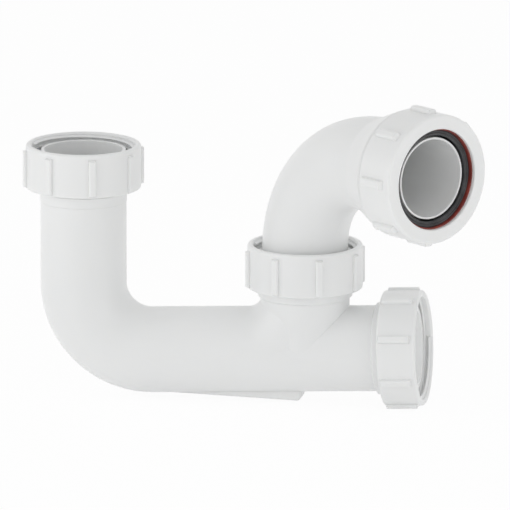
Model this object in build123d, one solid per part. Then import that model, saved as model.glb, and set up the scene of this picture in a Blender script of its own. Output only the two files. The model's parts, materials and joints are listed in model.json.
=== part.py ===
from build123d import *
from math import cos, radians, sin, tan
import os

# Bath trap: a moulded U-bend with a captive inlet nut, a swivel outlet elbow and a cleaning eye.
# Millimetres, +Z up. The origin is the centre of the inlet spigot's end, and +X runs to the eye.

# Tube of the trap and of the elbow
tube_radius = 20.0
tube_wall = 1.8

# Lower bend, run and boss of the trap body
inlet_height = 94.3          # spigot's end above the run's axis at the foot of the lower bend
boss_distance = 104.6        # inlet axis to boss axis
lower_bend_radius = 31.0     # on the centre line
run_rise = 2.6               # degrees, from the lower bend up to the cleaning eye
run_wall = 1.6
boss_foot_step = 0.2         # the boss is this much inside the tube's radius at the run's axis
boss_head_rise = 1.0         # and this much outside it under the nut
boss_corner = 8.0            # inside radius between the run and the boss
corner_inset = 0.15          # the corner's tube is this much thinner than the run
boss_nut_height = 33.0       # underside of the boss nut above the foot of the lower bend
boss_flare_rise = 2.0
boss_flare_length = 4.3

# Keel under the run, deepest at its blunt end
keel_half_width = 6.2
keel_start_depth = -1.3      # below the run's underside
keel_end_depth = 3.9
keel_stop = 2.0              # the keel ends this far short of the boss axis
keel_end_round = 2.0
keel_edge_round = 1.4

# Cleaning eye, at the end of the run
eye_nut_distance = 38.1      # boss axis to the underside of the eye nut
eye_nut_height = 18.0
eye_flare_rise = 1.4
eye_flare_length = 3.6

# Inlet spigot and the shallow moulded band under its nut
spigot_step = 0.3            # the spigot is this much inside the tube's radius
rim_rise = 2.6               # the lowered nut's rim above the spigot's end
band_drop = 1.7              # under the nut
band_height = 4.7
band_rise = 0.2

# Union nuts of the inlet, the boss and the eye
nut_height = 20.5
nut_wall = 2.9               # outside the thread
nut_rim_round = 1.2
nut_foot_round = 0.6
nut_lip = 2.5
nut_mouth_chamfer = 0.8
nut_play = 0.3               # lip to flange, and lip to shoulder
lip_clearance = 0.4          # lip to neck, on the radius
flare_straight = 0.8         # share of a shoulder's flare that isn't tapered

# Inch-and-a-half pipe thread, drawn as plain cylinders at its root radii
thread_height = 1.5
thread_clearance = 0.1
thread_length = 9.0
thread_runout = 1.2

# Flange that holds the nut, and the flat washer on it
flange_rise = 2.0            # outside the tube
flange_clearance = 0.4       # flange to the nut's thread, on the radius
flange_thickness = 2.4
washer_thickness = 2.4
washer_clearance = 0.15

# Grip ribs of the union nuts
rib_count = 8
rib_width = 3.4
rib_rise = 1.6
rib_sunk = 1.2               # the rib's foot inside the nut's wall
rib_start = 0.4
rib_stop = 2.0               # below the rim
rib_slope = 0.8
rib_round = 0.8
inlet_rib_turn = 19.3
boss_rib_turn = 23.8
eye_rib_turn = 24.0

# Dished plug of the cleaning eye
plug_floor = 2.2
plug_thread_length = 5.0
plug_collar_rise = 0.6
plug_rim = 2.4
plug_dish_draft = 0.8
plug_dish_round = 2.0

# Elbow
outlet_height = 99.0         # outlet axis above the run's axis at the foot of the lower bend
elbow_bend_radius = 48.0     # on the centre line
elbow_even_share = 0.55      # share of the bend before it widens
elbow_mid_share = 0.8
elbow_mid_rise = 0.9         # outside the tube
elbow_end_rise = 2.3
elbow_swing = -38.5          # degrees from +X
socket_length = 43.4         # end of the bend to the face of the outlet nut

# Socket of the elbow, each depth measured back from the outlet nut's face
sleeve_depth = 4.3
sleeve_wall = 0.9
socket_depth = 6.0
seal_mouth_flare = 2.6       # the mouth's taper, on the radius
seal_mouth_length = 8.0
pocket_gap = 2.9             # sleeve to socket, on the radius
pocket_depth = 30.0
socket_wall = 1.8            # at the mouth
outlet_thread_height = 1.4
outlet_thread_depth = 22.0
bell_rise = 1.7              # the cone's widest part outside the thread, behind the nut
bell_edge_round = 0.8
bell_neck_rise = 0.6         # the cone's narrow end outside the bend's end
bell_neck_length = 5.1       # from there to the bend's end
bell_neck_round = 8.0

# Outlet nut, slip washer and rubber seal
outlet_nut_length = 20.5
outlet_nut_wall = 2.2        # outside the thread
outlet_nut_round = 1.2
outlet_nut_back_round = 0.6
outlet_lip = 2.0
outlet_opening_step = 1.1    # inside the socket's mouth
outlet_opening_round = 0.7
outlet_rib_rise = 2.0
outlet_rib_start = 3.4
outlet_rib_length = 15.2
outlet_rib_slope = 1.6
outlet_rib_width = 4.0
outlet_rib_turn = 2.0
outlet_thread_gap = 0.2
slip_washer_thickness = 1.8
slip_washer_show = 0.6       # inside the nut's opening
slip_washer_gap = 0.3
seal_lip = 1.6
seal_lip_gap = 1.1           # sleeve to lip
seal_wall = 0.6              # at the back, inside the socket's pocket
seal_clearance = 0.15

# Places that follow from the sizes above
tube_bore = tube_radius - tube_wall
spigot_radius = tube_radius - spigot_step
boss_foot_radius = tube_radius - boss_foot_step
boss_head_radius = tube_radius + boss_head_rise
boss_flare_radius = tube_radius + boss_flare_rise
eye_flare_radius = tube_radius + eye_flare_rise
flange_radius = tube_radius + flange_rise
thread_minor = flange_radius + flange_clearance
thread_major = thread_minor + thread_height
nut_radius = thread_major + nut_wall
plug_dish_radius = tube_radius - plug_rim
elbow_mid_radius = tube_radius + elbow_mid_rise
elbow_end_radius = tube_radius + elbow_end_rise
bell_neck_radius = elbow_end_radius + bell_neck_rise
bell_neck_depth = socket_length - bell_neck_length
outlet_reach = elbow_bend_radius + socket_length
run_z = -inlet_height
corner_bend_radius = tube_radius + boss_corner
flange_low = nut_lip + nut_play
flange_top = flange_low + flange_thickness
washer_top = flange_top + washer_thickness
male_radius = thread_minor - thread_clearance
inlet_nut_z = rim_rise - nut_height
boss_nut_z = run_z + boss_nut_height
outlet_z = run_z + outlet_height
sleeve_radius = tube_bore + sleeve_wall
pocket_radius = sleeve_radius + pocket_gap
seal_mouth_radius = pocket_radius + seal_mouth_flare
seal_lip_radius = sleeve_radius + seal_lip_gap
seal_bore = pocket_radius - seal_wall
outlet_thread_minor = seal_mouth_radius + socket_wall
outlet_thread_major = outlet_thread_minor + outlet_thread_height
bell_radius = outlet_thread_major + bell_rise
outlet_nut_bore = outlet_thread_major + outlet_thread_gap
outlet_nut_radius = outlet_nut_bore + outlet_nut_wall
outlet_opening = seal_mouth_radius - outlet_opening_step
slip_washer_bore = outlet_opening - slip_washer_show

inlet_port = Plane((0, 0, inlet_nut_z))
boss_port = Plane((boss_distance, 0, boss_nut_z))
run_way = Vector(cos(radians(run_rise)), 0, sin(radians(run_rise)))
run_up = Vector(-sin(radians(run_rise)), 0, cos(radians(run_rise)))
run_side = Vector(0, -1, 0)
lower_bend_centre = Vector(lower_bend_radius, 0, run_z + lower_bend_radius)
run_start = lower_bend_centre - run_up * lower_bend_radius
run_length = (boss_distance - run_start.X) / cos(radians(run_rise))
tee_centre = run_start + run_way * run_length
run_axis = Plane(run_start, x_dir=run_side, z_dir=run_way)
eye_port = Plane(tee_centre + run_way * eye_nut_distance, x_dir=run_side, z_dir=run_way)
outlet_way = Vector(cos(radians(elbow_swing)), sin(radians(elbow_swing)), 0)
outlet_face = Plane(
    Vector(boss_distance, 0, outlet_z) + outlet_way * outlet_reach,
    x_dir=(0, 0, 1),
    z_dir=outlet_way * -1,
)


def turned(corners, rounds=()):
    """Turn a closed outline of (radius, height) corners about Z, with some corners rounded."""
    outline = make_face(Polyline(*corners, close=True))
    for corner, radius in rounds:
        place = Vector(*corner)
        vertex = outline.vertices().sort_by_distance(place)[0]
        outline = fillet(vertex, radius)
    return revolve(Plane.XZ * outline, Axis.Z)


def rod(radius, low, high):
    """A plain round bar along Z."""
    return Pos(0, 0, low) * Cylinder(radius, high - low, align=(Align.CENTER, Align.CENTER, Align.MIN))


def ring(inner, outer, low, high):
    """A plain ring along Z."""
    return rod(outer, low, high) - rod(inner, low, high)


def bend(radius, centre, arm, axis, angle):
    """Swing a round section, centred at the arm's end, about an axis through the centre."""
    start = Plane(centre + arm, z_dir=axis.cross(arm))
    return revolve(start * Circle(radius), Axis(centre, axis), angle)


def widening_bend(path, sections):
    """A round bar along a path, with its radius given at several shares of the path."""
    faces = []
    for share, radius in sections:
        section = Plane(path @ share, z_dir=path % share) * Circle(radius)
        faces.append(section.face())
    return sweep(faces, path=path, multisection=True)


def grip_rib(root, crest, low, high, slope, width, rounding):
    """One rib along Z at +X, with sloped ends and rounded crest edges."""
    side = Polyline(
        (root, low), (crest, low + slope), (crest, high - slope), (root, high), close=True
    )
    blank = extrude(Plane.XZ * make_face(side), width / 2, both=True)
    crest_edges = blank.faces().sort_by(Axis.X)[-1].edges().filter_by(Axis.Z)
    return fillet(crest_edges, rounding)


def with_ribs(blank, rib, turn):
    """Set equal ribs round a nut."""
    for index in range(rib_count):
        blank = blank + Rot(0, 0, turn + index * 360 / rib_count) * rib
    return blank


def union_nut(height, turn):
    """The ribbed nut of the inlet, the boss or the eye, with its lip at the bottom."""
    lip_bore = tube_radius + lip_clearance
    bore = thread_major
    mouth = bore + nut_mouth_chamfer
    blank = turned(
        [
            (lip_bore, 0),
            (nut_radius, 0),
            (nut_radius, height),
            (mouth, height),
            (bore, height - nut_mouth_chamfer),
            (bore, nut_lip),
            (lip_bore, nut_lip),
        ],
        [((nut_radius, 0), nut_foot_round), ((nut_radius, height), nut_rim_round)],
    )
    rib = grip_rib(
        nut_radius - rib_sunk,
        nut_radius + rib_rise,
        rib_start,
        height - rib_stop,
        rib_slope,
        rib_width,
        rib_round,
    )
    return with_ribs(blank, rib, turn)


def flat_washer(bore):
    """A flat rubber ring on a port's flange."""
    return ring(bore, flange_radius, flange_top, washer_top)


def port_end(root_radius, flare_radius, flare_length):
    """The flared shoulder under a union nut, then the neck and the flange that hold the nut."""
    shoulder = -nut_play
    flare_low = shoulder - flare_length
    flare_high = shoulder - flare_length * flare_straight
    return turned(
        [
            (0, flare_low),
            (root_radius, flare_low),
            (flare_radius, flare_high),
            (flare_radius, shoulder),
            (tube_radius, shoulder),
            (tube_radius, flange_low),
            (flange_radius, flange_low),
            (flange_radius, flange_top),
            (0, flange_top),
        ]
    )


def body_passage(bend_radius, run_radius, boss_foot, boss_head, leg_top, boss_top, eye_end):
    """The body's way through: leg, lower bend, run, boss with its inside corner, and eye stub."""
    leg = rod(bend_radius, lower_bend_centre.Z, leg_top)
    lower_arm = Vector(-lower_bend_radius, 0, 0)
    lower_bend = bend(bend_radius, lower_bend_centre, lower_arm, run_side, 90 + run_rise)
    run = run_axis * rod(run_radius, 0, run_length + eye_end)
    boss = Pos(boss_distance, 0, 0) * turned(
        [(0, tee_centre.Z), (boss_foot, tee_centre.Z), (boss_head, boss_top), (0, boss_top)]
    )
    corner_height = corner_bend_radius * (1 / cos(radians(run_rise)) - tan(radians(run_rise)))
    corner_centre = tee_centre + Vector(-corner_bend_radius, 0, corner_height)
    corner_arm = run_up * -corner_bend_radius
    corner = bend(run_radius - corner_inset, corner_centre, corner_arm, run_side, 90 - run_rise)
    return leg + lower_bend + run + boss + corner


def make_keel():
    """The tapered keel under the run, from the lower bend to a blunt end under the boss."""
    length = run_length - keel_stop
    deep = (length, -tube_radius - keel_end_depth)
    outline = make_face(
        Polyline((0, 0), (length, 0), deep, (0, -tube_radius - keel_start_depth), close=True)
    )
    corner = outline.vertices().sort_by_distance(Vector(*deep))[0]
    blade = extrude(fillet(corner, keel_end_round), keel_half_width, both=True)
    walls = blade.faces().filter_by(Axis.Z)
    side = Plane(run_start, x_dir=run_way, z_dir=run_side)
    return side * fillet(walls.edges(), keel_edge_round)


def make_trap_body():
    """The U-bend with its inlet spigot, boss, cleaning-eye stub and the flanges of all three."""
    outer = body_passage(
        tube_radius,
        tube_radius,
        boss_foot_radius,
        boss_head_radius,
        inlet_nut_z + flange_low,
        boss_nut_z - nut_play,
        eye_nut_distance - nut_play,
    )
    band_top = -band_drop
    band = rod(tube_radius + band_rise, band_top - band_height, band_top)
    inlet_end = rod(flange_radius, flange_low, flange_top) + rod(tube_radius, flange_top, washer_top)
    spigot = rod(spigot_radius, inlet_nut_z + washer_top, 0)
    boss_end = port_end(boss_head_radius, boss_flare_radius, boss_flare_length)
    eye_end = port_end(tube_radius, eye_flare_radius, eye_flare_length)
    outer = outer + inlet_port * (band + inlet_end) + spigot + boss_port * boss_end + eye_port * eye_end
    outer = outer + make_keel()
    inner = body_passage(
        tube_bore,
        tube_radius - run_wall,
        tube_bore,
        tube_bore,
        0,
        boss_nut_z + flange_top,
        eye_nut_distance + flange_top,
    )
    return outer - inner


def make_plug():
    """The dished screw plug that closes the cleaning eye."""
    thread_top = washer_top + plug_thread_length
    collar_low = thread_top + thread_runout
    collar_top = collar_low + plug_collar_rise
    floor = washer_top + plug_floor
    dish_floor = plug_dish_radius - plug_dish_draft
    return turned(
        [
            (0, washer_top),
            (male_radius, washer_top),
            (male_radius, thread_top),
            (tube_radius, collar_low),
            (tube_radius, collar_top),
            (plug_dish_radius, collar_top),
            (dish_floor, floor),
            (0, floor),
        ],
        [((dish_floor, floor), plug_dish_round)],
    )


def make_elbow():
    """The outlet elbow: threaded foot, bend, and a belled socket with a thin inner sleeve."""
    seat = boss_nut_z + washer_top
    thread_top = seat + thread_length
    bend_low = outlet_z - elbow_bend_radius
    bend_centre = Vector(elbow_bend_radius, 0, bend_low)
    bend_arm = Vector(-elbow_bend_radius, 0, 0)
    bend_axis = Vector(0, 1, 0)
    thread = turned(
        [
            (0, seat),
            (male_radius, seat),
            (male_radius, thread_top),
            (tube_radius, thread_top + thread_runout),
            (0, thread_top + thread_runout),
        ]
    )
    bend_path = Plane.XZ * CenterArc((elbow_bend_radius, bend_low), elbow_bend_radius, 180, -90)
    outer_bend = widening_bend(
        bend_path,
        [
            (0, tube_radius),
            (elbow_even_share, tube_radius),
            (elbow_mid_share, elbow_mid_radius),
            (1, elbow_end_radius),
        ],
    )
    upright = thread + rod(tube_radius, seat, bend_low) + outer_bend
    bell_edge = (bell_radius, outlet_thread_depth)
    bell_neck = (bell_neck_radius, bell_neck_depth)
    socket = turned(
        [
            (0, socket_depth),
            (outlet_thread_minor, socket_depth),
            (outlet_thread_minor, outlet_thread_depth),
            bell_edge,
            bell_neck,
            (elbow_end_radius, socket_length),
            (0, socket_length),
        ],
        [(bell_edge, bell_edge_round), (bell_neck, bell_neck_round)],
    )
    pocket = turned(
        [
            (sleeve_radius, socket_depth),
            (sleeve_radius, pocket_depth),
            (pocket_radius, pocket_depth),
            (pocket_radius, socket_depth + seal_mouth_length),
            (seal_mouth_radius, socket_depth),
        ]
    )
    upright_bore = rod(tube_bore, seat, bend_low) + bend(
        tube_bore, bend_centre, bend_arm, bend_axis, 90
    )
    turn = Pos(boss_distance, 0, 0) * Rot(0, 0, elbow_swing)
    sleeve = rod(sleeve_radius, sleeve_depth, pocket_depth)
    way_out = rod(tube_bore, sleeve_depth, socket_length)
    solid = turn * upright + outlet_face * (socket - pocket + sleeve)
    return solid - turn * upright_bore - outlet_face * way_out


def make_outlet_nut():
    """The large compression nut of the outlet, with short ribs behind its rounded front."""
    opening = (outlet_opening, 0)
    front = (outlet_nut_radius, 0)
    back = (outlet_nut_radius, outlet_nut_length)
    blank = turned(
        [
            opening,
            front,
            back,
            (outlet_nut_bore, outlet_nut_length),
            (outlet_nut_bore, outlet_lip),
            (outlet_opening, outlet_lip),
        ],
        [(opening, outlet_opening_round), (front, outlet_nut_round), (back, outlet_nut_back_round)],
    )
    rib = grip_rib(
        outlet_nut_radius - rib_sunk,
        outlet_nut_radius + outlet_rib_rise,
        outlet_rib_start,
        outlet_rib_start + outlet_rib_length,
        outlet_rib_slope,
        outlet_rib_width,
        rib_round,
    )
    return with_ribs(blank, rib, outlet_rib_turn)


def make_seal():
    """The rubber seal: a thin front lip on a wedge that sits in the socket's mouth."""
    front = outlet_lip + slip_washer_thickness
    back = socket_depth + seal_mouth_length - 2 * seal_clearance
    slope = (seal_mouth_radius - pocket_radius) / seal_mouth_length
    large = seal_mouth_radius - seal_clearance
    small = large - slope * (back - socket_depth)
    return turned(
        [
            (seal_lip_radius, front),
            (large, front),
            (large, socket_depth),
            (small, back),
            (seal_bore, back),
            (seal_bore, front + seal_lip),
            (seal_lip_radius, front + seal_lip),
        ]
    )


slip_washer_edge = outlet_nut_bore - slip_washer_gap
slip_washer_back = outlet_lip + slip_washer_thickness
pieces = {
    "trap_body": make_trap_body(),
    "inlet_nut": inlet_port * union_nut(nut_height, inlet_rib_turn),
    "inlet_washer": inlet_port * flat_washer(tube_radius + washer_clearance),
    "boss_nut": boss_port * union_nut(nut_height, boss_rib_turn),
    "boss_washer": boss_port * flat_washer(tube_bore),
    "outlet_elbow": make_elbow(),
    "outlet_seal": outlet_face * make_seal(),
    "slip_washer": outlet_face * ring(slip_washer_bore, slip_washer_edge, outlet_lip, slip_washer_back),
    "outlet_nut": outlet_face * make_outlet_nut(),
    "eye_nut": eye_port * union_nut(eye_nut_height, eye_rib_turn),
    "eye_washer": eye_port * flat_washer(tube_bore),
    "eye_plug": eye_port * make_plug(),
}

os.makedirs("parts", exist_ok=True)
for name, piece in pieces.items():
    export_step(piece, f"parts/{name}.step")
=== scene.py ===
"""Dresses a bath trap: moulded plastic, rubber and fibre finishes, screw threads and seal lips.

Lengths are in metres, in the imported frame: the origin is the centre of the inlet spigot's end,
+Z is up and +X runs from the inlet to the cleaning eye.
"""

import json
import logging
import math
from dataclasses import dataclass, field
from enum import Enum

import bpy
from mathutils import Matrix, Vector


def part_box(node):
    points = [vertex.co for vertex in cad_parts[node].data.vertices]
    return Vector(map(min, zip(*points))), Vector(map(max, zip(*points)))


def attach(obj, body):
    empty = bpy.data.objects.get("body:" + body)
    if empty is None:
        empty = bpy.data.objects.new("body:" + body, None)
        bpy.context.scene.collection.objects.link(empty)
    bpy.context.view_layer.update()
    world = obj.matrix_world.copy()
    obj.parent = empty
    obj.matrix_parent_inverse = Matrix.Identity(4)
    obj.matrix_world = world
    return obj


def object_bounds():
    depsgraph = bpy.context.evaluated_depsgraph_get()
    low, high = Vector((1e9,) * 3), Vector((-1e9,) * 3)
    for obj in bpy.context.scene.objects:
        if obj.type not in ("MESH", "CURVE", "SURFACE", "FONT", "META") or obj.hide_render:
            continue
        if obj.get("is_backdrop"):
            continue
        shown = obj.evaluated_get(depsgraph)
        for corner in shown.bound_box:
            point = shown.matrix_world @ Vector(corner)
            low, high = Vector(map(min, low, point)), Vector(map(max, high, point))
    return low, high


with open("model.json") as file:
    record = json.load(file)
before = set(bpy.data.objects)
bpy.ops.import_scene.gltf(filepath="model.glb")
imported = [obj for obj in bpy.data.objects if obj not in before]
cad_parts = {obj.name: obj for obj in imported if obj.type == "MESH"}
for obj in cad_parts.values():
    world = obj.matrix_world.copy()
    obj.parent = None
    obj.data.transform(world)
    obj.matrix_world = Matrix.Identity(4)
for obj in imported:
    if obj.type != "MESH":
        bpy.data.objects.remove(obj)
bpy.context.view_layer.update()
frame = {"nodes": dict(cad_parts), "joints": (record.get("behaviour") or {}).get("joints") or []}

MM = 0.001
SMOOTH_ANGLE = math.radians(40)
MERGE_GAP = 0.001 * MM
PROFILE_CORNERS = 4
EDGE_SAMPLES = 6
NOISE_LOW = 0.3
NOISE_HIGH = 0.7
LOG = logging.getLogger("bath_trap")

Colour = tuple[float, float, float]


class Slot(Enum):
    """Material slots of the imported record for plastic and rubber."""

    PLASTIC = "plastic"
    RUBBER = "rubber"


class Wall(Enum):
    """Which way a thread's ridge stands off its round wall."""

    OUTWARD = 1
    INWARD = -1


def joint(name: str) -> dict:
    """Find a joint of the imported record.

    Args:
        name: The joint's name.

    Returns:
        The joint as the record states it.
    """
    return next(item for item in frame["joints"] if item["name"] == name)


def place_along(origin: Vector, axis: Vector) -> Matrix:
    """Make a placement whose Z runs along an axis.

    Args:
        origin: Where the placement's origin goes.
        axis: The direction of its Z.

    Returns:
        The placement as a matrix.
    """
    turn = axis.to_track_quat("Z", "Y").to_matrix().to_4x4()
    return Matrix.Translation(origin) @ turn


def way_from(azimuth: float, elevation: float) -> Vector:
    """Find the direction from the object towards a lamp or a camera.

    Args:
        azimuth: Degrees round from the front towards +X.
        elevation: Degrees above the level.

    Returns:
        The direction, of length 1.
    """
    around, above = math.radians(azimuth), math.radians(elevation)
    level = math.cos(above)
    return Vector((math.sin(around) * level, -math.cos(around) * level, math.sin(above)))


class FinishBoard:
    """A new node material with its shader and its Object coordinates ready to wire."""

    def __init__(self, name: str) -> None:
        """Make an empty material.

        Args:
            name: The material's name.
        """
        self.material = bpy.data.materials.new(name)
        self.material.use_nodes = True
        self.tree = self.material.node_tree
        self.shader = self.tree.nodes["Principled BSDF"]
        self.place = self.add("ShaderNodeTexCoord").outputs["Object"]

    def add(self, kind: str, **settings: object) -> bpy.types.Node:
        """Add one node.

        Args:
            kind: Blender's name of the node type.
            **settings: Properties to set on it.

        Returns:
            The node.
        """
        node = self.tree.nodes.new(kind)
        for name, value in settings.items():
            setattr(node, name, value)
        return node

    def wire(self, source: bpy.types.NodeSocket, target: bpy.types.NodeSocket) -> None:
        """Join an output to an input."""
        self.tree.links.new(source, target)

    def noise(self, scale: float, detail: float, stretch: Colour = (1, 1, 1)) -> bpy.types.NodeSocket:
        """Add cloudy noise on Object coordinates.

        Args:
            scale: Blotches to a metre.
            detail: Octaves of finer noise.
            stretch: How much denser the noise is along X, Y and Z.

        Returns:
            The noise's value.
        """
        mapping = self.add("ShaderNodeMapping")
        mapping.inputs["Scale"].default_value = stretch
        self.wire(self.place, mapping.inputs["Vector"])
        noise = self.add("ShaderNodeTexNoise")
        noise.inputs["Scale"].default_value = scale
        noise.inputs["Detail"].default_value = detail
        self.wire(mapping.outputs["Vector"], noise.inputs["Vector"])
        return noise.outputs["Fac"]

    def tint(self, value: bpy.types.NodeSocket, dark: Colour, light: Colour) -> None:
        """Colour the surface between two tones.

        Args:
            value: What chooses the tone, from NOISE_LOW for dark to NOISE_HIGH for light.
            dark: The darker tone.
            light: The lighter tone.
        """
        ramp = self.add("ShaderNodeValToRGB")
        low, high = ramp.color_ramp.elements
        low.position, low.color = NOISE_LOW, (*dark, 1)
        high.position, high.color = NOISE_HIGH, (*light, 1)
        self.wire(value, ramp.inputs["Fac"])
        self.wire(ramp.outputs["Color"], self.shader.inputs["Base Color"])

    def roughen(self, value: bpy.types.NodeSocket, low: float, high: float) -> None:
        """Spread the surface's roughness between two values.

        Args:
            value: What chooses the roughness, from NOISE_LOW to NOISE_HIGH.
            low: The least roughness.
            high: The most roughness.
        """
        spread = self.add("ShaderNodeMapRange")
        spread.inputs["From Min"].default_value = NOISE_LOW
        spread.inputs["From Max"].default_value = NOISE_HIGH
        spread.inputs["To Min"].default_value = low
        spread.inputs["To Max"].default_value = high
        self.wire(value, spread.inputs["Value"])
        self.wire(spread.outputs["Result"], self.shader.inputs["Roughness"])

    def rounded(self, radius: float) -> bpy.types.NodeSocket:
        """Soften the look of sharp edges.

        Args:
            radius: The radius that edges seem to have.

        Returns:
            The softened normal.
        """
        bevel = self.add("ShaderNodeBevel", samples=EDGE_SAMPLES)
        bevel.inputs["Radius"].default_value = radius
        return bevel.outputs["Normal"]

    def bump(
        self,
        height: bpy.types.NodeSocket,
        strength: float,
        depth: float,
        normal: bpy.types.NodeSocket,
    ) -> bpy.types.NodeSocket:
        """Raise the surface by a height.

        Args:
            height: The height, from 0 to 1.
            strength: How strongly it shows.
            depth: The height of 1, in metres.
            normal: The normal to start from.

        Returns:
            The changed normal.
        """
        bump = self.add("ShaderNodeBump")
        bump.inputs["Strength"].default_value = strength
        bump.inputs["Distance"].default_value = depth
        self.wire(height, bump.inputs["Height"])
        self.wire(normal, bump.inputs["Normal"])
        return bump.outputs["Normal"]

    def ridge(self, normal: Vector, point: Vector, half_width: float) -> bpy.types.NodeSocket:
        """Draw the fine raised line that two mould halves leave.

        Args:
            normal: The normal of the plane where the halves meet.
            point: A point of that plane.
            half_width: Half the line's width.

        Returns:
            The line's height, 1 at its middle.
        """
        across = self.add("ShaderNodeVectorMath", operation="DOT_PRODUCT")
        across.inputs[1].default_value = normal
        self.wire(self.place, across.inputs[0])
        offset = self.add("ShaderNodeMath", operation="SUBTRACT")
        offset.inputs[1].default_value = normal.dot(point)
        self.wire(across.outputs["Value"], offset.inputs[0])
        distance = self.add("ShaderNodeMath", operation="ABSOLUTE")
        self.wire(offset.outputs["Value"], distance.inputs[0])
        line = self.add("ShaderNodeMapRange", interpolation_type="SMOOTHSTEP")
        line.inputs["From Min"].default_value = 0.0
        line.inputs["From Max"].default_value = half_width
        line.inputs["To Min"].default_value = 1.0
        line.inputs["To Max"].default_value = 0.0
        self.wire(distance.outputs["Value"], line.inputs["Value"])
        return line.outputs["Result"]


@dataclass(frozen=True)
class PartingPlane:
    """The plane where the two halves of a mould met."""

    normal: Vector
    point: Vector


@dataclass(frozen=True)
class MouldedPlastic:
    """White moulded plastic with a satin gloss, soft edges and a fine grain."""

    name: str
    parting: PartingPlane | None = None
    light: Colour = (0.875, 0.881, 0.876)
    shade: Colour = (0.85, 0.857, 0.855)
    cloud_scale: float = 16.0
    sheen_scale: float = 120.0
    roughness: tuple[float, float] = (0.3, 0.38)
    edge_radius: float = 0.45 * MM
    grain_scale: float = 240.0
    grain_depth: float = 0.05 * MM
    grain_strength: float = 0.06
    line_half_width: float = 0.35 * MM
    line_depth: float = 0.12 * MM
    line_strength: float = 0.7
    refraction: float = 1.49
    glow: float = 0.3
    glow_depth: float = 2.0 * MM
    glow_spread: Colour = (1.0, 0.97, 0.92)

    def make(self) -> bpy.types.Material:
        """Make the material.

        Returns:
            The material.
        """
        board = FinishBoard(self.name)
        board.tint(board.noise(self.cloud_scale, detail=2), self.shade, self.light)
        board.roughen(board.noise(self.sheen_scale, detail=3), *self.roughness)
        grain = board.noise(self.grain_scale, detail=3)
        edges = board.rounded(self.edge_radius)
        normal = board.bump(grain, self.grain_strength, self.grain_depth, edges)
        if self.parting:
            line = board.ridge(self.parting.normal, self.parting.point, self.line_half_width)
            normal = board.bump(line, self.line_strength, self.line_depth, normal)
        board.wire(normal, board.shader.inputs["Normal"])
        board.shader.inputs["IOR"].default_value = self.refraction
        board.shader.inputs["Subsurface Weight"].default_value = self.glow
        board.shader.inputs["Subsurface Scale"].default_value = self.glow_depth
        board.shader.inputs["Subsurface Radius"].default_value = self.glow_spread
        return board.material


@dataclass(frozen=True)
class SealRubber:
    """Black rubber with a faint grey bloom."""

    name: str
    dark: Colour = (0.026, 0.026, 0.028)
    bloom: Colour = (0.075, 0.076, 0.08)
    bloom_scale: float = 160.0
    roughness: tuple[float, float] = (0.42, 0.6)
    edge_radius: float = 0.25 * MM
    grain_scale: float = 2200.0
    grain_depth: float = 0.06 * MM
    grain_strength: float = 0.35

    def make(self) -> bpy.types.Material:
        """Make the material.

        Returns:
            The material.
        """
        board = FinishBoard(self.name)
        bloom = board.noise(self.bloom_scale, detail=5)
        board.tint(bloom, self.dark, self.bloom)
        board.roughen(bloom, *self.roughness)
        grain = board.noise(self.grain_scale, detail=2)
        edges = board.rounded(self.edge_radius)
        normal = board.bump(grain, self.grain_strength, self.grain_depth, edges)
        board.wire(normal, board.shader.inputs["Normal"])
        return board.material


@dataclass(frozen=True)
class SlipFibre:
    """Dark red pressed fibre, streaked along the ring."""

    name: str
    dark: Colour = (0.15, 0.016, 0.012)
    light: Colour = (0.3, 0.05, 0.035)
    streak_scale: float = 420.0
    streak_stretch: Colour = (1.0, 1.0, 0.25)
    roughness: tuple[float, float] = (0.45, 0.65)
    edge_radius: float = 0.2 * MM
    grain_depth: float = 0.08 * MM
    grain_strength: float = 0.3

    def make(self) -> bpy.types.Material:
        """Make the material.

        Returns:
            The material.
        """
        board = FinishBoard(self.name)
        streaks = board.noise(self.streak_scale, detail=4, stretch=self.streak_stretch)
        board.tint(streaks, self.dark, self.light)
        board.roughen(streaks, *self.roughness)
        edges = board.rounded(self.edge_radius)
        normal = board.bump(streaks, self.grain_strength, self.grain_depth, edges)
        board.wire(normal, board.shader.inputs["Normal"])
        return board.material


def deselect() -> None:
    """Leave no object selected."""
    bpy.ops.object.select_all(action="DESELECT")


def settle(piece: bpy.types.Object, place: Matrix) -> None:
    """Put a piece's place into its mesh, and smooth it.

    Args:
        piece: The active, selected piece, modelled about Z at the origin.
        place: Where it goes.
    """
    piece.matrix_world = place
    bpy.ops.object.transform_apply(location=True, rotation=True, scale=True)
    bpy.ops.object.shade_smooth_by_angle(angle=SMOOTH_ANGLE)


def reach_along(node: str, place: Matrix) -> float:
    """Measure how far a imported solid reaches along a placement's Z.

    Args:
        node: The solid's node.
        place: The placement.

    Returns:
        The largest Z of the solid's corners in that placement.
    """
    solid = frame["nodes"][node]
    turn = place.inverted() @ solid.matrix_world
    return max((turn @ vertex.co).z for vertex in solid.data.vertices)


def dress(piece: bpy.types.Object, material: bpy.types.Material) -> None:
    """Give a piece one material all over."""
    piece.data.materials.clear()
    piece.data.materials.append(material)


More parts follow.
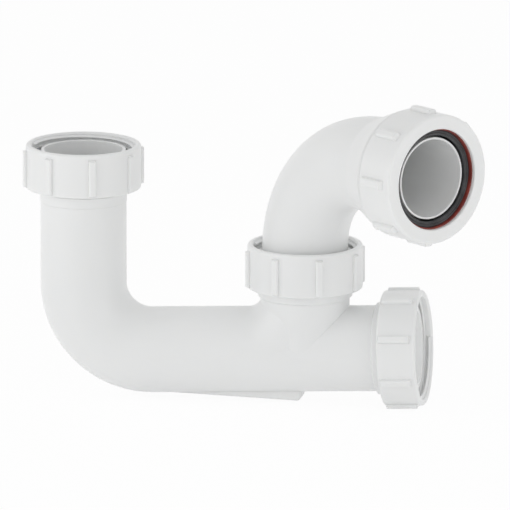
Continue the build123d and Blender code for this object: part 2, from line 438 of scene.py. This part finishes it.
@dataclass
class ScrewThread:
    """A right-hand ridge that winds round Z on a round wall."""

    name: str
    wall: Wall
    wall_radius: float
    depth: float
    pitch: float
    start: float
    turns: float
    foot_share: float = 0.8
    crest_share: float = 0.16
    sunk: float = 0.12 * MM
    steps_per_turn: int = 56

    def build(self, place: Matrix) -> bpy.types.Object:
        """Model the ridge.

        Args:
            place: The placement whose Z is the thread's axis.

        Returns:
            The ridge as a mesh object.
        """
        side = self.wall.value
        foot = self.wall_radius - side * self.sunk
        crest = self.wall_radius + side * self.depth
        deselect()
        bpy.ops.mesh.primitive_plane_add(size=1)
        ridge = bpy.context.object
        ridge.name = self.name
        bpy.ops.object.mode_set(mode="EDIT")
        bpy.ops.transform.rotate(value=math.pi / 2, orient_axis="X", center_override=(0, 0, 0))
        width = self.foot_share * self.pitch
        bpy.ops.transform.resize(value=(abs(crest - foot), 1, width), center_override=(0, 0, 0))
        bpy.ops.transform.translate(value=((foot + crest) / 2, 0, self.start))
        self.select_crest(ridge, (foot + crest) / 2)
        taper = (1, 1, self.crest_share / self.foot_share)
        bpy.ops.transform.resize(value=taper, center_override=(crest, 0, self.start))
        bpy.ops.mesh.select_all(action="SELECT")
        bpy.ops.mesh.delete(type="ONLY_FACE")
        bpy.ops.object.mode_set(mode="OBJECT")
        screw = ridge.modifiers.new("wind", "SCREW")
        screw.axis = "Z"
        screw.angle = math.tau * self.turns
        screw.screw_offset = self.pitch * self.turns
        screw.steps = screw.render_steps = round(self.steps_per_turn * self.turns)
        screw.use_smooth_shade = False
        bpy.ops.object.modifier_apply(modifier=screw.name)
        bpy.ops.object.mode_set(mode="EDIT")
        bpy.ops.mesh.select_all(action="SELECT")
        bpy.ops.mesh.remove_doubles(threshold=MERGE_GAP)
        bpy.ops.mesh.fill_holes(sides=PROFILE_CORNERS)
        bpy.ops.mesh.select_all(action="SELECT")
        bpy.ops.mesh.normals_make_consistent(inside=False)
        bpy.ops.object.mode_set(mode="OBJECT")
        settle(ridge, place)
        return ridge

    def select_crest(self, ridge: bpy.types.Object, middle: float) -> None:
        """Select the two corners of the profile that lie on the crest's side.

        Args:
            ridge: The profile, in edit mode.
            middle: The radius half-way between foot and crest.
        """
        bpy.ops.object.mode_set(mode="OBJECT")
        for edge in ridge.data.edges:
            edge.select = False
        for polygon in ridge.data.polygons:
            polygon.select = False
        for vertex in ridge.data.vertices:
            vertex.select = self.wall.value * (vertex.co.x - middle) > 0
        bpy.ops.object.mode_set(mode="EDIT")


@dataclass
class RoundRing:
    """A ring about Z with an oval section: a lip of a seal, or a collar on a shoulder."""

    name: str
    radius: float
    width: float
    rise: float
    height: float
    corners: int = 14
    steps: int = 112

    def build(self, place: Matrix) -> bpy.types.Object:
        """Model the ring.

        Args:
            place: The placement whose Z is the ring's axis.

        Returns:
            The ring as a mesh object.
        """
        deselect()
        bpy.ops.mesh.primitive_circle_add(vertices=self.corners, radius=1)
        ring = bpy.context.object
        ring.name = self.name
        bpy.ops.object.mode_set(mode="EDIT")
        bpy.ops.transform.rotate(value=math.pi / 2, orient_axis="X", center_override=(0, 0, 0))
        size = (self.width / 2, 1, self.rise)
        bpy.ops.transform.resize(value=size, center_override=(0, 0, 0))
        bpy.ops.transform.translate(value=(self.radius, 0, self.height))
        bpy.ops.mesh.spin(
            steps=self.steps, angle=math.tau, center=(0, 0, 0), axis=(0, 0, 1), use_auto_merge=True
        )
        bpy.ops.mesh.select_all(action="SELECT")
        bpy.ops.mesh.remove_doubles(threshold=MERGE_GAP)
        bpy.ops.mesh.normals_make_consistent(inside=False)
        bpy.ops.object.mode_set(mode="OBJECT")
        settle(ring, place)
        return ring


@dataclass
class Port:
    """A ribbed union nut, and the screwed part that it may hold, on one axis."""

    name: str
    nut: str
    nut_turns: float
    place: Matrix
    screwed_body: str = ""
    screwed_turns: float = 0.0
    nut_bore: float = 23.9 * MM
    male_radius: float = 22.3 * MM
    ridge_depth: float = 1.35 * MM
    pitch: float = 2.309 * MM
    rim_margin: float = 1.5 * MM

    def build(self, plastic: bpy.types.Material) -> None:
        """Model the threads and let them ride.

        Args:
            plastic: The nut's own finish.
        """
        rim = reach_along(self.nut, self.place)
        start = rim - self.rim_margin - self.nut_turns * self.pitch
        female = ScrewThread(
            name=f"{self.name}_nut_thread",
            wall=Wall.INWARD,
            wall_radius=self.nut_bore,
            depth=self.ridge_depth,
            pitch=self.pitch,
            start=start,
            turns=self.nut_turns,
        )
        add_piece(female.build(self.place), self.nut, plastic)
        if self.screwed_body:
            male = ScrewThread(
                name=f"{self.name}_screw_thread",
                wall=Wall.OUTWARD,
                wall_radius=self.male_radius,
                depth=self.ridge_depth,
                pitch=self.pitch,
                start=start + self.pitch / 2,
                turns=self.screwed_turns,
            )
            add_piece(male.build(self.place), self.screwed_body, plastic)


@dataclass
class Outlet:
    """The compression outlet: coarse threads, the collar behind its nut, and its seal's lips."""

    place: Matrix
    nut_bore: float = 28.0 * MM
    male_radius: float = 26.4 * MM
    ridge_depth: float = 1.3 * MM
    pitch: float = 3.0 * MM
    turns: float = 4.5
    nut_start: float = 5.6 * MM
    seal_face: float = 3.8 * MM
    lip_radii: tuple[float, ...] = (21.05 * MM, 22.3 * MM)
    lip_width: float = 0.75 * MM
    lip_rise: float = 0.35 * MM
    collar_radius: float = 28.2 * MM
    collar_width: float = 3.1 * MM
    collar_rise: float = 0.73 * MM
    collar_depth: float = 21.27 * MM

    def build(self, plastic: bpy.types.Material, rubber: bpy.types.Material) -> None:
        """Model the threads, the collar and the lips, and let them ride.

        Args:
            plastic: The finish of the nut and the elbow.
            rubber: The finish of the seal.
        """
        female = ScrewThread(
            name="outlet_nut_thread",
            wall=Wall.INWARD,
            wall_radius=self.nut_bore,
            depth=self.ridge_depth,
            pitch=self.pitch,
            start=self.nut_start,
            turns=self.turns,
        )
        male = ScrewThread(
            name="outlet_socket_thread",
            wall=Wall.OUTWARD,
            wall_radius=self.male_radius,
            depth=self.ridge_depth,
            pitch=self.pitch,
            start=self.nut_start + self.pitch / 2,
            turns=self.turns,
        )
        add_piece(female.build(self.place), "outlet_nut", plastic)
        add_piece(male.build(self.place), "elbow", plastic)
        collar = RoundRing(
            "outlet_collar", self.collar_radius, self.collar_width, self.collar_rise, self.collar_depth
        )
        add_piece(collar.build(self.place), "elbow", plastic)
        for index, radius in enumerate(self.lip_radii):
            lip = RoundRing(f"seal_lip_{index}", radius, self.lip_width, self.lip_rise, self.seal_face)
            add_piece(lip.build(self.place), "elbow", rubber)


def add_piece(piece: bpy.types.Object, body: str, material: bpy.types.Material) -> None:
    """Dress a new piece and let it ride on a body.

    Args:
        piece: The piece, in place.
        body: The CAD body that it moves with.
        material: Its finish.
    """
    dress(piece, material)
    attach(piece, body)
    LOG.info("%s rides on %s with %d faces", piece.name, body, len(piece.data.polygons))


@dataclass
class SoftBox:
    """One soft studio lamp that faces the object."""

    name: str
    azimuth: float
    elevation: float
    distance: float
    size: float
    power: float

    def build(self, target: Vector) -> None:
        """Set the lamp up.

        Args:
            target: What it faces.
        """
        way = way_from(self.azimuth, self.elevation)
        data = bpy.data.lights.new(self.name, "AREA")
        data.shape = "DISK"
        data.size = self.size
        data.energy = self.power
        lamp = bpy.data.objects.new(self.name, data)
        lamp.location = target + way * self.distance
        lamp.rotation_euler = way.to_track_quat("Z", "Y").to_euler()
        bpy.context.scene.collection.objects.link(lamp)


@dataclass
class Studio:
    """A plain pale floor, soft light and the camera of the photograph."""

    floor_size: float = 30.0
    floor_gap: float = 0.2 * MM
    floor_colour: Colour = (0.92, 0.92, 0.92)
    floor_glow: float = 0.14
    backdrop_share: float = 0.93
    overhead_light: float = 0.7
    level_light: float = 0.57
    camera_azimuth: float = 10.0
    camera_elevation: float = 12.9
    camera_distance: float = 8.0
    frame_width: float = 237.65 * MM
    aim_right: float = 79.75 * MM
    aim_up: float = 42.59 * MM
    run_height: float = -94.3 * MM
    sensor: float = 36.0
    lamps: list[SoftBox] = field(
        default_factory=lambda: [
            SoftBox("key_light", azimuth=-58.0, elevation=8.0, distance=0.8, size=0.8, power=1.65),
            SoftBox("fill_light", azimuth=52.0, elevation=4.0, distance=0.6, size=0.6, power=0.62),
            SoftBox("back_light", azimuth=170.0, elevation=55.0, distance=1.2, size=0.9, power=0.3),
        ]
    )

    def build(self) -> None:
        """Set up the whole studio."""
        low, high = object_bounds()
        self.build_floor(low.z - self.floor_gap)
        self.build_world()
        for lamp in self.lamps:
            lamp.build((low + high) / 2)
        self.build_camera()

    @staticmethod
    def seen_rays(tree: bpy.types.NodeTree) -> bpy.types.NodeSocket:
        """Tell the rays that see the backdrop, straight or in a gloss, from those that light.

        Args:
            tree: The material's or the world's nodes.

        Returns:
            1 for a ray that sees, 0 for one that lights.
        """
        path = tree.nodes.new("ShaderNodeLightPath")
        either = tree.nodes.new("ShaderNodeMath")
        either.operation = "MAXIMUM"
        tree.links.new(path.outputs["Is Camera Ray"], either.inputs[0])
        tree.links.new(path.outputs["Is Glossy Ray"], either.inputs[1])
        return either.outputs["Value"]

    def build_floor(self, height: float) -> None:
        """Lay the floor.

        Args:
            height: The floor's Z.
        """
        deselect()
        bpy.ops.mesh.primitive_plane_add(size=self.floor_size, location=(0, 0, height))
        floor = bpy.context.object
        floor.name = "studio_floor"
        material = bpy.data.materials.new("pale_floor")
        material.use_nodes = True
        tree = material.node_tree
        tree.nodes.clear()
        diffuse = tree.nodes.new("ShaderNodeBsdfDiffuse")
        diffuse.inputs["Color"].default_value = (*self.floor_colour, 1)
        glow = tree.nodes.new("ShaderNodeEmission")
        glow.inputs["Strength"].default_value = self.floor_glow
        lit = tree.nodes.new("ShaderNodeAddShader")
        white = tree.nodes.new("ShaderNodeEmission")
        share = tree.nodes.new("ShaderNodeMath")
        share.operation = "MULTIPLY"
        share.inputs[1].default_value = self.backdrop_share
        mix = tree.nodes.new("ShaderNodeMixShader")
        output = tree.nodes.new("ShaderNodeOutputMaterial")
        tree.links.new(self.seen_rays(tree), share.inputs[0])
        tree.links.new(share.outputs["Value"], mix.inputs["Fac"])
        tree.links.new(diffuse.outputs["BSDF"], lit.inputs[0])
        tree.links.new(glow.outputs["Emission"], lit.inputs[1])
        tree.links.new(lit.outputs["Shader"], mix.inputs[1])
        tree.links.new(white.outputs["Emission"], mix.inputs[2])
        tree.links.new(mix.outputs["Shader"], output.inputs["Surface"])
        floor.data.materials.append(material)
        floor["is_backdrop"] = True

    def build_world(self) -> None:
        """Light softly from all round, most from overhead, and show white to the camera."""
        world = bpy.data.worlds.new("studio_world")
        bpy.context.scene.world = world
        world.use_nodes = True
        tree = world.node_tree
        tree.nodes.clear()
        place = tree.nodes.new("ShaderNodeTexCoord")
        split = tree.nodes.new("ShaderNodeSeparateXYZ")
        fade = tree.nodes.new("ShaderNodeMapRange")
        fade.inputs["To Min"].default_value = self.level_light
        fade.inputs["To Max"].default_value = self.overhead_light
        soft = tree.nodes.new("ShaderNodeBackground")
        soft.inputs["Color"].default_value = (1, 1, 1, 1)
        tree.links.new(place.outputs["Generated"], split.inputs["Vector"])
        tree.links.new(split.outputs["Z"], fade.inputs["Value"])
        tree.links.new(fade.outputs["Result"], soft.inputs["Strength"])
        white = tree.nodes.new("ShaderNodeBackground")
        white.inputs["Color"].default_value = (1, 1, 1, 1)
        mix = tree.nodes.new("ShaderNodeMixShader")
        output = tree.nodes.new("ShaderNodeOutputWorld")
        tree.links.new(self.seen_rays(tree), mix.inputs["Fac"])
        tree.links.new(soft.outputs["Background"], mix.inputs[1])
        tree.links.new(white.outputs["Background"], mix.inputs[2])
        tree.links.new(mix.outputs["Shader"], output.inputs["Surface"])

    def build_camera(self) -> None:
        """Set the camera at the photograph's angle, for a square picture."""
        azimuth = math.radians(self.camera_azimuth)
        right = Vector((math.cos(azimuth), math.sin(azimuth), 0))
        back = way_from(self.camera_azimuth, self.camera_elevation)
        up = back.cross(right)
        aim = right * self.aim_right + up * self.aim_up + Vector((0, 0, self.run_height))
        data = bpy.data.cameras.new("camera")
        data.sensor_width = self.sensor
        data.lens = self.sensor * self.camera_distance / self.frame_width
        camera = bpy.data.objects.new("camera", data)
        camera.location = aim + back * self.camera_distance
        camera.rotation_euler = back.to_track_quat("Z", "Y").to_euler()
        bpy.context.scene.collection.objects.link(camera)
        bpy.context.scene.camera = camera


class BathTrap:
    """The whole trap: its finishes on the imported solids, and the fine pieces round them."""

    body_nodes: tuple[str, ...] = ("trap_body",)
    elbow_nodes: tuple[str, ...] = ("outlet_elbow",)
    turned_nodes: tuple[str, ...] = ("inlet_nut", "boss_nut", "outlet_nut", "eye_nut", "eye_plug")
    rubber_nodes: tuple[str, ...] = ("inlet_washer", "boss_washer", "outlet_seal", "eye_washer")
    slip_nodes: tuple[str, ...] = ("slip_washer",)

    def __init__(self) -> None:
        """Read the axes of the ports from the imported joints, and make the finishes."""
        boss = Vector(joint("boss_nut_turn")["pos_m"])
        self.outlet_way = Vector(joint("outlet_nut_turn")["axis"])
        self.outlet_face = Vector(joint("outlet_nut_turn")["pos_m"])
        self.eye_way = Vector(joint("eye_plug_slide")["axis"])
        self.eye_port = Vector(joint("eye_nut_turn")["pos_m"])
        self.boss_port = Vector((boss.x, boss.y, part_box("boss_nut")[0].z))
        self.inlet_port = Vector((0, 0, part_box("inlet_nut")[0].z))
        elbow_plane = PartingPlane(self.outlet_way.cross(Vector((0, 0, 1))), self.outlet_face)
        body_plane = PartingPlane(Vector((0, 1, 0)), Vector((0, 0, 0)))
        self.body_plastic = MouldedPlastic("trap_body_plastic", body_plane).make()
        self.elbow_plastic = MouldedPlastic("elbow_plastic", elbow_plane).make()
        self.nut_plastic = MouldedPlastic("nut_plastic").make()
        self.rubber = SealRubber("seal_rubber").make()
        self.fibre = SlipFibre("slip_washer_fibre").make()

    def dress_solids(self) -> None:
        """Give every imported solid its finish."""
        finishes = {
            self.body_nodes: self.body_plastic,
            self.elbow_nodes: self.elbow_plastic,
            self.turned_nodes: self.nut_plastic,
            self.rubber_nodes: self.rubber,
            self.slip_nodes: self.fibre,
        }
        for nodes, material in finishes.items():
            for node in nodes:
                dress(frame["nodes"][node], material)
                LOG.info("%s wears %s", node, material.name)

    def build_ports(self) -> None:
        """Model the threads of the three union nuts and of what they hold."""
        up = Vector((0, 0, 1))
        inlet = place_along(self.inlet_port, up)
        boss = place_along(self.boss_port, up)
        eye = place_along(self.eye_port, self.eye_way)
        ports = [
            Port("inlet", "inlet_nut", nut_turns=5.0, place=inlet),
            Port("boss", "boss_nut", nut_turns=5.0, place=boss, screwed_body="elbow", screwed_turns=3.0),
            Port("eye", "eye_nut", nut_turns=4.0, place=eye, screwed_body="eye_plug", screwed_turns=1.5),
        ]
        for port in ports:
            port.build(self.nut_plastic)

    def build_outlet(self) -> None:
        """Model the threads, the collar and the seal's lips of the outlet."""
        place = place_along(self.outlet_face, -self.outlet_way)
        Outlet(place).build(self.nut_plastic, self.rubber)


def main() -> None:
    """Dress the trap and set up its studio."""
    logging.basicConfig(level=logging.INFO)
    bpy.context.scene.view_settings.view_transform = "Standard"
    trap = BathTrap()
    trap.dress_solids()
    trap.build_ports()
    trap.build_outlet()
    Studio().build()


if __name__ == "__main__":
    main()
